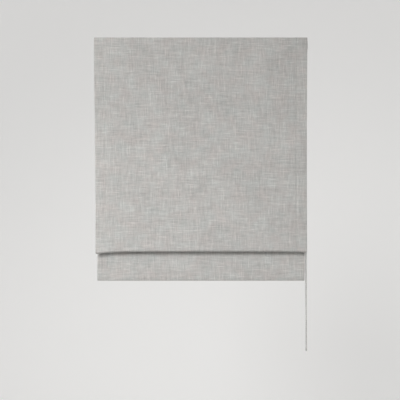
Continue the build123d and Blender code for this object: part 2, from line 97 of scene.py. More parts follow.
# %% Place the camera
VIEW_DISTANCE = 1.5
VIEW_WIDTH_AT_CLOTH = 1.1428
VIEW_ASIDE = -0.0019
VIEW_HEIGHT = -0.3982
VIEW_SHIFT = -0.06
SENSOR_WIDTH = 36
cloth_front = cad_box[0][1]
camera_data = bpy.data.cameras.new("camera")
camera_data.sensor_width = SENSOR_WIDTH
camera_data.lens = SENSOR_WIDTH * VIEW_DISTANCE / VIEW_WIDTH_AT_CLOTH
camera_data.shift_y = VIEW_SHIFT
camera = bpy.data.objects.new("camera", camera_data)
camera.location = (VIEW_ASIDE, cloth_front - VIEW_DISTANCE, VIEW_HEIGHT)
camera.rotation_euler = (pi / 2, 0, 0)
bpy.context.scene.collection.objects.link(camera)
bpy.context.scene.camera = camera
print("camera lens in mm:", round(camera_data.lens, 1))

# %% [markdown]
# ## From a bmesh to a piece
# Each new piece starts as a bmesh, a mesh in memory that the bmesh operators shape. One helper
# makes it an object at the origin, gives it its finish and the moving body that carries it, and
# shades it smooth, except at its open borders, which stay crisp.


# %% Turn a bmesh into a piece
def make_piece(name, bm, material, body=None):
    for edge in bm.edges:
        if edge.is_boundary:
            edge.smooth = False
    mesh = bpy.data.meshes.new(name)
    bm.to_mesh(mesh)
    bm.free()
    mesh.materials.append(material)
    for face in mesh.polygons:
        face.use_smooth = True
    piece = bpy.data.objects.new(name, mesh)
    bpy.context.scene.collection.objects.link(piece)
    if body:
        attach(piece, body)
    print(name, "faces", len(mesh.polygons))
    return piece


# %% [markdown]
# ## Finishes
# Each finish is a small node tree. What several of them share, such as threads or fine grain, is
# a node group with named sockets, built once and set to its own numbers in each material. The
# groups hand over masks and heights only, and the shader stays in the material itself.


# %% Build nodes and node groups
def new_group(name, inputs, outputs):
    group = bpy.data.node_groups.new(name, "ShaderNodeTree")
    for socket_name, kind, value in inputs:
        socket = group.interface.new_socket(socket_name, in_out="INPUT", socket_type=kind)
        if value is not None:
            socket.default_value = value
    for socket_name, kind in outputs:
        group.interface.new_socket(socket_name, in_out="OUTPUT", socket_type=kind)
    return group, group.nodes.new("NodeGroupInput"), group.nodes.new("NodeGroupOutput")


def add_node(tree, kind, values=(), **settings):
    """A node with its settings, and its inputs set to a value or linked to a socket."""
    node = tree.nodes.new(kind)
    for key, value in settings.items():
        setattr(node, key, value)
    for key, value in dict(values).items():
        if isinstance(value, bpy.types.NodeSocket):
            tree.links.new(value, node.inputs[key])
        else:
            node.inputs[key].default_value = value
    return node


def add_math(tree, operation, first, second):
    node = add_node(tree, "ShaderNodeMath", {0: first, 1: second}, operation=operation)
    return node.outputs[0]


def add_mix(tree, share, first, second, blend="MIX"):
    """A colour mix. Its sockets are found by type, because a mix node has one set for each."""
    node = tree.nodes.new("ShaderNodeMix")
    node.data_type = "RGBA"
    node.blend_type = blend
    factor = node.inputs[0]
    colours = [socket for socket in node.inputs if socket.type == "RGBA"]
    for socket, value in ((factor, share), (colours[0], first), (colours[1], second)):
        if isinstance(value, bpy.types.NodeSocket):
            tree.links.new(value, socket)
        else:
            socket.default_value = value if socket is factor else (*value, 1)
    return next(socket for socket in node.outputs if socket.type == "RGBA")


# %% [markdown]
# ### Threads
# Linen-look cloth is a plain weave of uneven yarn. Two sine waves at right angles make the over
# and under of the threads. Noise that is stretched along each direction makes the slubs, the
# thick and thin places that run a few centimetres along a thread and catch the light. Its
# crosswise coordinate is rounded down to whole yarns, which keeps every slub straight, and then
# spaced out, so that neighbouring yarns don't match. Yarn varies at other scales too, so a few
# strong slubs, small flecks and broad clouds are added, each with an amount of its own. Without
# them such cloth looks drawn with a ruler. A picture of cloth would show all this too, but noise
# never repeats, and its numbers can be changed for any other cloth.


# %% The group for woven threads
YARNS_APART = 3.7
DIRECTIONS_APART = 7.0
STRONG_SLUB_FROM = 0.6
FLECK_SCALE = 420.0
CLOUD_SCALE = 9.0
THREAD_HEIGHT = 0.3


def build_threads():
    group, given, result = new_group(
        "woven_threads",
        [
            ("Vector", "NodeSocketVector", None),
            ("Threads per metre", "NodeSocketFloat", 1300.0),
            ("Slub length", "NodeSocketFloat", 0.05),
            ("Slub width", "NodeSocketFloat", 0.002),
            ("Strong slubs", "NodeSocketFloat", 0.0),
            ("Flecks", "NodeSocketFloat", 0.3),
            ("Clouds", "NodeSocketFloat", 0.3),
        ],
        [("Slubs", "NodeSocketFloat"), ("Height", "NodeSocketFloat")],
    )
    place = add_node(group, "ShaderNodeSeparateXYZ", {0: given.outputs["Vector"]})
    turns = add_math(group, "MULTIPLY", given.outputs["Threads per metre"], pi)
    waves = []
    for axis in (0, 1):
        phase = add_math(group, "MULTIPLY", place.outputs[axis], turns)
        waves.append(add_math(group, "SINE", phase, 0.0))
    weave = add_math(group, "MULTIPLY", waves[0], waves[1])
    slubs = []
    for along, across in ((0, 1), (1, 0)):
        lengthwise = add_math(
            group, "DIVIDE", place.outputs[along], given.outputs["Slub length"]
        )
        crosswise = add_math(group, "DIVIDE", place.outputs[across], given.outputs["Slub width"])
        yarn = add_math(group, "FLOOR", crosswise, 0.0)
        stretched = add_node(
            group,
            "ShaderNodeCombineXYZ",
            {
                0: lengthwise,
                1: add_math(group, "MULTIPLY", yarn, YARNS_APART),
                2: DIRECTIONS_APART * along,
            },
        )
        slub = add_node(
            group,
            "ShaderNodeTexNoise",
            {"Vector": stretched.outputs[0], "Scale": 1.0, "Detail": 2.0, "Roughness": 0.7},
        )
        slubs.append(slub.outputs["Fac"])
    both = add_math(group, "ADD", slubs[0], slubs[1])
    tone = add_math(group, "SUBTRACT", both, 1.0)
    thickest = add_math(group, "MAXIMUM", slubs[0], slubs[1])
    excess = add_math(group, "SUBTRACT", thickest, STRONG_SLUB_FROM)
    strong = add_math(group, "MAXIMUM", excess, 0.0)
    lifted = add_math(group, "MULTIPLY", strong, given.outputs["Strong slubs"])
    tone = add_math(group, "ADD", tone, lifted)
    for amount, scale, detail in (("Flecks", FLECK_SCALE, 1.0), ("Clouds", CLOUD_SCALE, 2.0)):
        patches = add_node(
            group,
            "ShaderNodeTexNoise",
            {"Vector": given.outputs["Vector"], "Scale": scale, "Detail": detail},
        )
        centred = add_math(group, "SUBTRACT", patches.outputs["Fac"], 0.5)
        weighed = add_math(group, "MULTIPLY", centred, given.outputs[amount])
        tone = add_math(group, "ADD", tone, weighed)
    group.links.new(tone, result.inputs["Slubs"])
    thread_height = add_math(group, "MULTIPLY", weave, THREAD_HEIGHT)
    height = add_math(group, "ADD", thread_height, tone)
    group.links.new(height, result.inputs["Height"])
    return group


threads = build_threads()
print("threads group has", len(threads.nodes), "nodes")

# %% [markdown]
# ### Grain and drawn lines
# Moulded plastic, paint and metal are never quite even. One fine noise gives their roughness and
# height. Stretched along one axis, it makes the lines that a die leaves on drawn or extruded
# metal, so one group serves both and takes its stretch as an input.


# %% The group for fine grain
def build_grain():
    group, given, result = new_group(
        "fine_grain",
        [
            ("Vector", "NodeSocketVector", None),
            ("Stretch", "NodeSocketVector", (1.0, 1.0, 1.0)),
            ("Scale", "NodeSocketFloat", 800.0),
            ("Low", "NodeSocketFloat", 0.4),
            ("High", "NodeSocketFloat", 0.5),
        ],
        [("Roughness", "NodeSocketFloat"), ("Height", "NodeSocketFloat")],
    )
    stretched = add_node(
        group,
        "ShaderNodeVectorMath",
        {0: given.outputs["Vector"], 1: given.outputs["Stretch"]},
        operation="MULTIPLY",
    )
    speckle = add_node(
        group,
        "ShaderNodeTexNoise",
        {"Vector": stretched.outputs[0], "Scale": given.outputs["Scale"], "Detail": 3.0},
    )
    rough = add_node(
        group,
        "ShaderNodeMapRange",
        {
            "Value": speckle.outputs["Fac"],
            "From Min": 0.3,
            "From Max": 0.7,
            "To Min": given.outputs["Low"],
            "To Max": given.outputs["High"],
        },
    )
    group.links.new(rough.outputs["Result"], result.inputs["Roughness"])
    group.links.new(speckle.outputs["Fac"], result.inputs["Height"])
    return group


grain = build_grain()
print("grain group has", len(grain.nodes), "nodes")

# %% [markdown]
# ### Cloth
# Both cloths use the threads' group. Hung cloth is nearly flat, so Object coordinates serve as
# well as an unwrapped pattern would: x goes across, and height less depth runs down the cloth and
# round its folds without a jump. Two close tones are mixed by the slubs, and a slower noise tints
# them, as uneven yarn takes up the dye.


# %% Finish for cloth
CLOTH_ROUGHNESS = 0.92
CLOTH_SHEEN = 0.12
BLOTCH_SCALE = 24.0


def new_material(name, **sockets):
    material = bpy.data.materials.new(name)
    material.use_nodes = True
    tree = material.node_tree
    shader = tree.nodes["Principled BSDF"]
    for key, value in sockets.items():
        shader.inputs[key.replace("_", " ")].default_value = value
    return material, tree, shader


def cloth_finish(name, dark, light, tone_reach, mottle, depth, **weave):
    """Woven cloth: two close tones mixed by the slubs, faint mottling, and a bump of threads."""
    material, tree, shader = new_material(
        name, Roughness=CLOTH_ROUGHNESS, Sheen_Weight=CLOTH_SHEEN
    )
    place = add_node(tree, "ShaderNodeTexCoord")
    axes = add_node(tree, "ShaderNodeSeparateXYZ", {0: place.outputs["Object"]})
    down = add_math(tree, "SUBTRACT", axes.outputs[2], axes.outputs[1])
    laid_flat = add_node(tree, "ShaderNodeCombineXYZ", {0: axes.outputs[0], 1: down})
    woven = add_node(tree, "ShaderNodeGroup", node_tree=threads)
    tree.links.new(laid_flat.outputs[0], woven.inputs["Vector"])
    for key, value in weave.items():
        woven.inputs[key.replace("_", " ")].default_value = value
    share = add_node(
        tree,
        "ShaderNodeMapRange",
        {"Value": woven.outputs["Slubs"], "From Min": -tone_reach, "From Max": tone_reach},
    )
    tone = add_mix(tree, share.outputs["Result"], dark, light)
    blotches = add_node(
        tree,
        "ShaderNodeTexNoise",
        {"Vector": laid_flat.outputs[0], "Scale": BLOTCH_SCALE, "Detail": 4.0, "Roughness": 0.6},
    )
    tinted = add_node(
        tree,
        "ShaderNodeMapRange",
        {"Value": blotches.outputs["Fac"], "From Min": 0.35, "From Max": 0.65},
    )
    tone = add_mix(tree, tinted.outputs["Result"], tone, mottle, "MULTIPLY")
    tree.links.new(tone, shader.inputs["Base Color"])
    bump = add_node(
        tree,
        "ShaderNodeBump",
        {"Height": woven.outputs["Height"], "Strength": 0.6, "Distance": depth},
    )
    tree.links.new(bump.outputs[0], shader.inputs["Normal"])
    return material


face_cloth = cloth_finish(
    "face_linen",
    dark=(0.360, 0.365, 0.355),
    light=(0.590, 0.595, 0.574),
    tone_reach=0.365,
    mottle=(1.0, 0.94, 0.935),
    depth=0.0004,
    Threads_per_metre=1250.0,
    Slub_length=0.045,
    Slub_width=0.0019,
    Strong_slubs=1.1,
    Flecks=0.3,
    Clouds=0.35,
)
lining_cloth = cloth_finish(
    "lining_sateen",
    dark=(0.68, 0.665, 0.63),
    light=(0.76, 0.75, 0.72),
    tone_reach=0.6,
    mottle=(1.0, 0.985, 0.96),
    depth=0.0001,
    Threads_per_metre=2600.0,
    Slub_width=0.0012,
    Flecks=0.2,
    Clouds=0.3,
)
print("cloth finishes:", face_cloth.name, lining_cloth.name)


# %% [markdown]
# ### The hard pieces' finishes
# The plastics differ in colour and gloss, the metals in their lines. Powder coat has a faint
# orange peel, so its noise is coarser than that of moulded plastic. Each finish is one row of a
# table, because the node tree is the same for all of them.


# %% Finish for plastic, paint and metal
SHADE_IN_GRAIN = 0.93


def hard_finish(name, colour, rough, scale, depth, stretch=(1, 1, 1), tint=None, **sockets):
    """Plastic, paint or metal: a fine grain that varies colour, roughness and height."""
    material, tree, shader = new_material(name, **sockets)
    place = add_node(tree, "ShaderNodeTexCoord")
    surface = add_node(tree, "ShaderNodeGroup", node_tree=grain)
    tree.links.new(place.outputs["Object"], surface.inputs["Vector"])
    surface.inputs["Stretch"].default_value = stretch
    surface.inputs["Scale"].default_value = scale
    surface.inputs["Low"].default_value, surface.inputs["High"].default_value = rough
    tree.links.new(surface.outputs["Roughness"], shader.inputs["Roughness"])
    tint = tint or [share * SHADE_IN_GRAIN for share in colour]
    tone = add_mix(tree, surface.outputs["Height"], colour, tint)
    tree.links.new(tone, shader.inputs["Base Color"])
    bump = add_node(
        tree, "ShaderNodeBump", {"Height": surface.outputs["Height"], "Distance": depth}
    )
    tree.links.new(bump.outputs[0], shader.inputs["Normal"])
    return material


DRAWN = {"stretch": (0.02, 1.0, 1.0)}
METAL = {"Metallic": 1.0}
CLEAR = {"Transmission_Weight": 0.85, "IOR": 1.49}
ZINC = {"tint": (0.52, 0.53, 0.56), **METAL}
NICKEL = {"tint": (0.37, 0.365, 0.355), **METAL}

# for each slot: the finish, its colour, its range of roughness, the grain's scale and its depth
finishes = {"face_cloth": face_cloth, "lining_cloth": lining_cloth}
for slot, finish, colour, rough, scale, depth, more in (
    ("white_plastic", "moulded_white", (0.80, 0.80, 0.78), (0.32, 0.45), 900.0, 0.00003, {}),
    ("grey_plastic", "moulded_grey", (0.33, 0.33, 0.34), (0.35, 0.5), 900.0, 0.00003, {}),
    ("clear_plastic", "clear_moulding", (0.86, 0.89, 0.89), (0.12, 0.25), 700.0, 0.00002, CLEAR),
    ("rod", "pultruded_rod", (0.79, 0.78, 0.72), (0.35, 0.5), 3000.0, 0.00004, DRAWN),
    ("bar", "mill_aluminium", (0.74, 0.74, 0.75), (0.28, 0.5), 2500.0, 0.00003, DRAWN | METAL),
    ("rail", "powder_coat", (0.82, 0.82, 0.80), (0.38, 0.46), 650.0, 0.00005, {}),
    ("spring_steel", "zinc_plated_steel", (0.62, 0.62, 0.63), (0.25, 0.42), 400.0, 0.00002, ZINC),
    ("shaft", "drawn_steel", (0.60, 0.60, 0.61), (0.22, 0.4), 2500.0, 0.00003, DRAWN | METAL),
    ("bead_metal", "nickel_beads", (0.48, 0.475, 0.465), (0.2, 0.34), 600.0, 0.00002, NICKEL),
    ("tape", "hook_and_loop", (0.82, 0.82, 0.80), (0.85, 0.95), 2200.0, 0.0005, {}),
):
    finishes[slot] = hard_finish(finish, colour, rough, scale, depth, **more)
print("finishes:", ", ".join(sorted(finishes)))


# %% [markdown]
# ### Braid
# The lift cord is braided from polyester yarn. Modelled yarns would take thousands of faces on a
# cord of 1.4 mm. On a straight cord they are two sets of slanted stripes, so two wave textures
# that lean opposite ways give its height. The same stripes also colour the low grooves between
# the yarns darker than the raised yarns, which is painted shade.


# %% The braided cord's finish
YARN_LEAN = 0.9


def braid_finish():
    material, tree, shader = new_material("braided_cord", Roughness=0.7)
    place = add_node(tree, "ShaderNodeTexCoord")
    stripes = []
    for lean in (-YARN_LEAN, YARN_LEAN):
        turned = add_node(
            tree,
            "ShaderNodeMapping",
            {"Vector": place.outputs["Object"], "Rotation": (0.0, lean, 0.0)},
        )
        wave = add_node(
            tree,
            "ShaderNodeTexWave",
            {"Vector": turned.outputs[0], "Scale": 260.0, "Distortion": 0.6},
            bands_direction="Z",
        )
        stripes.append(wave.outputs["Fac"])
    height = add_math(tree, "MAXIMUM", stripes[0], stripes[1])
    # painted shade: the low grooves between the yarns get the darker colour, the raised yarns the lighter
    # one
    tone = add_mix(tree, height, (0.62, 0.61, 0.57), (0.82, 0.81, 0.77))
    tree.links.new(tone, shader.inputs["Base Color"])
    bump = add_node(tree, "ShaderNodeBump", {"Height": height, "Distance": 0.0002})
    tree.links.new(bump.outputs[0], shader.inputs["Normal"])
    return material


finishes["cord"] = braid_finish()
print("braid:", finishes["cord"].name)

# %% [markdown]
# ## Give every rigid piece its finish
# The record names a material slot for each node of the frame. A node whose shape is right stays,
# and only its material changes.

# %% Assign the finishes
for part in frame["record"]["subparts"]:
    node = frame["nodes"][part["node"]]
    node.data.materials.clear()
    node.data.materials.append(finishes[part["material_slot"]])

# %% [markdown]
# ## The bead chain
# A blind's chain is a closed loop of hollow beads on a wire, one bead every 6 mm. It leaves the
# wheel in front, hangs down, turns round at the bottom and comes back up behind. An array along a
# curve would bend the beads. So the route is a smooth NURBS line past a few points, and a bead is
# set at each even step along it. Each bead is a low sphere, because there are hundreds of them
# and each is small in any view.

# %% The chain's route
BEAD_DIAMETER = 0.0045
BEAD_PITCH = 0.006
LINK_DIAMETER = 0.0012
CHAIN_TOP_Z = -0.0263
CHAIN_TURN_Z = -0.9049
CHAIN_FRONT = (0.305, -0.00639)
CHAIN_REAR = (0.305, 0.01679)
CHAIN_TURNED_OUT = 0.0053
NEAR_TURN = 0.0238
NEAR_WHEEL = 6 * BEAD_DIAMETER
ROUTE_STEPS = 24


def rear_point(z):
    """A point on the rear run, which leans out sideways towards the turn."""
    share = (z - CHAIN_TOP_Z) / (CHAIN_TURN_Z - CHAIN_TOP_Z)
    return (CHAIN_REAR[0] + CHAIN_TURNED_OUT * share, CHAIN_REAR[1], z)


chain_route = [
    (*CHAIN_FRONT, CHAIN_TOP_Z),
    (*CHAIN_FRONT, CHAIN_TOP_Z - NEAR_WHEEL),
    (*CHAIN_FRONT, CHAIN_TURN_Z + NEAR_TURN),
    (*CHAIN_FRONT, CHAIN_TURN_Z),
    rear_point(CHAIN_TURN_Z),
    rear_point(CHAIN_TURN_Z + NEAR_TURN),
    rear_point(CHAIN_TOP_Z - NEAR_WHEEL),
    rear_point(CHAIN_TOP_Z),
]


def route_points(name, corners):
    """The points of a smooth line that follows the given corners."""
    curve = bpy.data.curves.new(name, "CURVE")
    curve.dimensions = "3D"
    curve.resolution_u = ROUTE_STEPS
    spline = curve.splines.new("NURBS")
    spline.points.add(len(corners) - 1)
    for point, corner in zip(spline.points, corners):
        point.co = (*corner, 1)
    spline.order_u = 3
    spline.use_endpoint_u = True
    holder = bpy.data.objects.new(name, curve)
    mesh = bpy.data.meshes.new_from_object(holder)
    points = [vertex.co.copy() for vertex in mesh.vertices]
    bpy.data.objects.remove(holder)
    bpy.data.curves.remove(curve)
    bpy.data.meshes.remove(mesh)
    return points


chain_line = route_points("chain_route", chain_route)
chain_length = sum((b - a).length for a, b in zip(chain_line, chain_line[1:]))
print("free chain in metres:", round(chain_length, 3))


# %% String the beads
def evenly_along(points, spacing):
    """Places at equal distances along a line, the first half a spacing from its start."""
    places = []
    reach = spacing / 2
    travelled = 0.0
    for a, b in zip(points, points[1:]):
        length = (b - a).length
        while length > 0 and reach <= travelled + length:
            places.append(a.lerp(b, (reach - travelled) / length))
            reach += spacing
        travelled += length
    return places


def string_beads(bm, places):
    """A bead at each place, and a bit of wire from each bead to the next."""
    for place in places:
        bmesh.ops.create_uvsphere(
            bm,
            u_segments=8,
            v_segments=6,
            radius=BEAD_DIAMETER / 2,
            matrix=Matrix.Translation(place),
        )
    for here, there in zip(places, places[1:]):
        way = there - here
        turn = way.to_track_quat("Z", "Y").to_matrix().to_4x4()
        bmesh.ops.create_cone(
            bm,
            cap_ends=True,
            segments=6,
            radius1=LINK_DIAMETER / 2,
            radius2=LINK_DIAMETER / 2,
            depth=way.length,
            matrix=Matrix.Translation((here + there) / 2) @ turn,
        )


bead_count = round(chain_length / BEAD_PITCH)
hanging_beads = evenly_along(chain_line, chain_length / bead_count)
bm = bmesh.new()
string_beads(bm, hanging_beads)
hanging_chain = make_piece("hanging_chain", bm, finishes["bead_metal"], "root")
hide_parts("bead_chain")
print("hanging beads:", len(hanging_beads))

# %% [markdown]
# ### Over the wheel
# There the beads sit in the wheel's pockets, one every twelfth of a turn. Strung along a line
# they would miss the pockets' centres, so one vector is turned about the axle from pocket to
# pocket.


# %% The beads over the wheel
WHEEL_POCKETS = 12


def centre(node):
    low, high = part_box(node)
    return (low + high) / 2


wheel_centre = centre("chain_wheel")
to_front = Vector((0, CHAIN_FRONT[1] - wheel_centre.y, 0))
seated = []
for number in range(WHEEL_POCKETS // 2 + 1):
    turned = Matrix.Rotation(-2 * pi * number / WHEEL_POCKETS, 3, "X") @ to_front
    seated.append(Vector((CHAIN_FRONT[0], wheel_centre.y, wheel_centre.z)) + turned)
below = Vector((0, 0, -BEAD_PITCH))
seated = [hanging_beads[0], seated[0] + below, *seated, seated[-1] + below, hanging_beads[-1]]
bm = bmesh.new()
string_beads(bm, seated)
wheel_beads = make_piece("wheel_beads", bm, finishes["bead_metal"], "root")
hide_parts("bead_chain")
print("wheel centre:", [round(value, 4) for value in wheel_centre])

# %% [markdown]
# ## The cloth
# The face cloth is one length of linen-look cloth. It is fixed to the headrail at the top, hangs
# flat past two rods, drops into a loose fold, comes back up behind to the third rod, turns down
# again as the band and ends round the bottom bar. Seen from the side, that is one line. We draw
# the line with a vertex at each corner, round the corners with a vertex bevel, and drag it across
# the blind. Cloth simulation isn't needed, because rods and bar hold such a blind flat. The swell
# of the fold and a little unevenness are added by moving points.

# %% Where the cloth runs
CLOTH_THICKNESS = 0.0007
FACE_TO_ROD = 0.0056
FOLD_SWELL = 0.004
FOLD_RADIUS = 0.007
CREASE_RADIUS = 0.001
GENTLE_RADIUS = 0.060
HEM_RADIUS = 0.0032
BAR_ROOM = 0.0065
BAR_TO_HEM_TOP = 0.0085
LINING_BEHIND = 0.00175
LINING_THICKNESS = 0.0004
LINING_MARGIN = 0.015
SIDE_HEM = 0.030
TURN_RADIUS = 0.0005

rod_1, rod_2, rod_3 = (centre(f"rod_{number}") for number in (1, 2, 3))
cloth_low, cloth_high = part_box("face_fabric")
rail_floor_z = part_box("headrail")[0].z
bar_top_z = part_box("bottom_bar")[1].z
panel_drop = rod_1.z - rod_2.z
half_width = cloth_high.x
front_y = rod_1.y - FACE_TO_ROD
band_y = rod_3.y + CREASE_RADIUS
crease_z = rod_3.z - FACE_TO_ROD
fold_front_y = front_y - FOLD_SWELL
fold_back_y = fold_front_y + 2 * FOLD_RADIUS
fold_z = (rod_2.z + rod_3.z + pi * FOLD_RADIUS - panel_drop) / 2 - FOLD_RADIUS
hem_top_y = band_y + LINING_BEHIND + LINING_THICKNESS + 1.2 * CLOTH_THICKNESS
hem_top_z = bar_top_z + BAR_TO_HEM_TOP
side_line = [
    (cloth_low.y, cloth_high.z, None),
    (cloth_low.y, rail_floor_z, GENTLE_RADIUS),
    (front_y, rod_1.z, GENTLE_RADIUS),
    (front_y, rod_2.z, GENTLE_RADIUS),
    (fold_front_y, fold_z, FOLD_RADIUS),
    (fold_back_y, fold_z, FOLD_RADIUS),
    (band_y - 2 * CREASE_RADIUS, crease_z, CREASE_RADIUS),
    (band_y, crease_z, CREASE_RADIUS),
    (band_y, cloth_low.z, HEM_RADIUS),
    (band_y + BAR_ROOM, cloth_low.z, HEM_RADIUS),
    (band_y + BAR_ROOM, bar_top_z, GENTLE_RADIUS / 8),
    (hem_top_y, hem_top_z, None),
]
print("the fold's lower edge is at", round(fold_z, 3))


# %% Draw the side line
LINE_STEP = 0.004
BEVEL_ANGLE = 0.16
CLOSEST_POINTS = 0.00005


def draw_side_line(corners):
    """An open line in the YZ plane, rounded at its corners and cut into short steps."""
    bm = bmesh.new()
    verts = [bm.verts.new((0, y, z)) for y, z, radius in corners]
    for first, second in zip(verts, verts[1:]):
        bm.edges.new((first, second))
    for vert, (y, z, radius) in zip(verts, corners):
        if radius:
            one, other = [edge.other_vert(vert).co - vert.co for edge in vert.link_edges]
            turn = pi - one.angle(other)
            almost_half = 0.499 * min(one.length, other.length)
            bmesh.ops.bevel(
                bm,
                geom=[vert],
                offset=min(radius * tan(turn / 2), almost_half),
                offset_type="OFFSET",
                segments=max(2, round(turn / BEVEL_ANGLE)),
                profile=0.5,
                affect="VERTICES",
                material=-1,
            )
    bmesh.ops.remove_doubles(bm, verts=bm.verts, dist=CLOSEST_POINTS)
    for edge in bm.edges[:]:
        cuts = round(edge.calc_length() / LINE_STEP) - 1
        if cuts > 0:
            bmesh.ops.subdivide_edges(bm, edges=[edge], cuts=cuts)
    return bm


def measure_line(bm):
    """Stores in each vertex how far along the line it lies, and returns the line in order."""
    run = bm.verts.layers.float.new("run")
    ends = [vert for vert in bm.verts if len(vert.link_edges) == 1]
    vert = max(ends, key=lambda end: end.co.z)
    edge = None
    line = [vert]
    while edge is None or len(vert.link_edges) == 2:
        edge = next(other for other in vert.link_edges if other is not edge)
        after = edge.other_vert(vert)
        after[run] = vert[run] + edge.calc_length()
        vert = after
        line.append(vert)
    return [(vert[run], vert.co.copy()) for vert in line]


face_bm = draw_side_line(side_line)
face_line = measure_line(face_bm)
cloth_length = face_line[-1][0]
print("points on the side line:", len(face_line))
print("length of the cloth in metres:", round(cloth_length, 3))


# %% Find places along the cloth
def run_near(y, z):
    """How far along the cloth the point nearest to a place of the side line lies."""
    target = Vector((0, y, z))
    return min(face_line, key=lambda item: (item[1] - target).length)[0]


run_rail = run_near(cloth_low.y, rail_floor_z)
run_rod_1 = run_near(front_y, rod_1.z)
run_rod_2 = run_near(front_y, rod_2.z)
run_fold = run_near((fold_front_y + fold_back_y) / 2, fold_z)
run_crease = run_near(band_y - CREASE_RADIUS, crease_z)
run_band_foot = run_near(band_y, cloth_low.z)
run_back_foot = run_near(band_y + BAR_ROOM, cloth_low.z)
run_hem_top = run_near(band_y, hem_top_z)
places_along = (run_rail, run_rod_1, run_rod_2, run_fold, run_crease)
print("rail, two rods, fold, crease:", [round(place, 3) for place in places_along])

# %% [markdown]
# ### From the line to a sheet
# The cloth is cut 30 mm wider than the blind at each side, and that strip is turned to the back
# and sewn down, which leaves a faint line on the front. A grid could be bent to shape, but an
# extruded line has its columns where they are needed: close together at the turn and the seam.


# %% Choose the columns
GROOVE_HALF = 0.001
COLUMN_STEP = 0.005
HEM_COLUMN_STEP = 0.01


def spread(start, end, longest_step):
    """Evenly spaced numbers from start up to, and not with, end."""
    count = max(1, round(abs(end - start) / longest_step))
    return [start + (end - start) * number / count for number in range(count)]


turn_arc = pi * TURN_RADIUS
turn_x = half_width - TURN_RADIUS
sewn_x = turn_x - SIDE_HEM + GROOVE_HALF
cut_half = turn_x + turn_arc + SIDE_HEM
right_columns = [
    *spread(sewn_x + GROOVE_HALF, turn_x, COLUMN_STEP),
    turn_x,
    turn_x + turn_arc / 3,
    turn_x + turn_arc * 2 / 3,
    *spread(turn_x + turn_arc, cut_half, HEM_COLUMN_STEP),
    cut_half,
]
sewn_columns = [sewn_x - GROOVE_HALF, sewn_x]
middle_columns = spread(-sewn_x + GROOVE_HALF, sewn_x - GROOVE_HALF, COLUMN_STEP)[1:]
left_columns = [-x for x in reversed([*sewn_columns, *right_columns])]
columns = [*left_columns, *middle_columns, *sewn_columns, *right_columns]
print("columns:", len(columns), "cut width in metres:", round(2 * cut_half, 3))


# %% Drag the line across the blind
def drag(bm, stations, direction):
    """Extrudes a line or ring along a direction, from station to station."""
    bmesh.ops.translate(bm, vec=direction * stations[0], verts=bm.verts)
    edges = bm.edges[:]
    for here, there in zip(stations, stations[1:]):
        made = bmesh.ops.extrude_edge_only(bm, edges=edges)["geom"]
        verts = {item for item in made if isinstance(item, bmesh.types.BMVert)}
        bmesh.ops.translate(bm, vec=direction * (there - here), verts=list(verts))
        edges = [
            item
            for item in made
            if isinstance(item, bmesh.types.BMEdge) and verts.issuperset(item.verts)
        ]


ACROSS = Vector((1, 0, 0))
UP = Vector((0, 0, 1))
drag(face_bm, columns, ACROSS)
bmesh.ops.recalc_face_normals(face_bm, faces=face_bm.faces)
if min(face_bm.faces, key=lambda face: face.calc_center_median().y).normal.y > 0:
    bmesh.ops.reverse_faces(face_bm, faces=face_bm.faces)
face_bm.normal_update()
print("faces of the face cloth:", len(face_bm.faces))

# %% [markdown]
# ### The lining and the side hems
# The lining hangs just behind the face cloth all the way down. Made apart, it could cut through
# it at the fold, so it starts as a copy that is pushed back along the cloth's normals and trimmed
# to its own, smaller size. The face cloth's side strips are then carried round a narrow half
# circle to the back.

# %% Copy and trim the lining
LINING_ABOVE_HEM = 0.008

lining_bm = face_bm.copy()
lining_run = lining_bm.verts.layers.float["run"]
lining_bm.normal_update()
for vert in lining_bm.verts:
    vert.co -= vert.normal * LINING_BEHIND
for side in (-1, 1):
    bmesh.ops.bisect_plane(
        lining_bm,
        geom=[*lining_bm.verts, *lining_bm.edges, *lining_bm.faces],
        plane_co=(side * (half_width - LINING_MARGIN), 0, 0),
        plane_no=(side, 0, 0),
        clear_outer=True,
    )
past_hem = run_hem_top + LINING_ABOVE_HEM
foot = [vert for vert in lining_bm.verts if vert[lining_run] > past_hem]
bmesh.ops.delete(lining_bm, geom=foot, context="VERTS")
print("lining faces:", len(lining_bm.faces))

# %% Turn the side hems
GROOVE_DEPTH = 0.00035
HEM_CUT_OFF = 0.02

face_run = face_bm.verts.layers.float["run"]
spare = [
    vert
    for vert in face_bm.verts
    if abs(vert.co.x) > turn_x + turn_arc / 6 and vert[face_run] > run_band_foot - HEM_CUT_OFF
]
bmesh.ops.delete(face_bm, geom=spare, context="VERTS")
for vert in face_bm.verts:
    side = 1 if vert.co.x > 0 else -1
    past_turn = abs(vert.co.x) - turn_x
    if abs(abs(vert.co.x) - sewn_x) < GROOVE_HALF / 2:
        vert.co -= vert.normal * GROOVE_DEPTH
    if past_turn > 0:
        angle = min(past_turn / TURN_RADIUS, pi)
        flat = max(past_turn - turn_arc, 0)
        vert.co.x = side * (turn_x + TURN_RADIUS * sin(angle) - flat)
        vert.co -= vert.normal * TURN_RADIUS * (1 - cos(angle))
print("faces with the hems turned:", len(face_bm.faces))

# %% [markdown]
# ### The drape
# Two things set this blind apart from a flat drawing of one. The stiff side hems drag the fold
# down at its ends, so that its edge is a shallow arch, and the cloth has pulled in a little at
# the left on its way down. On top of that come slow swells of under a millimetre, which make the
# light on hung cloth uneven. A Displace modifier can't tell the fold from the band, but every
# point here knows how far along the cloth it lies, so each effect rises and fades where it should.

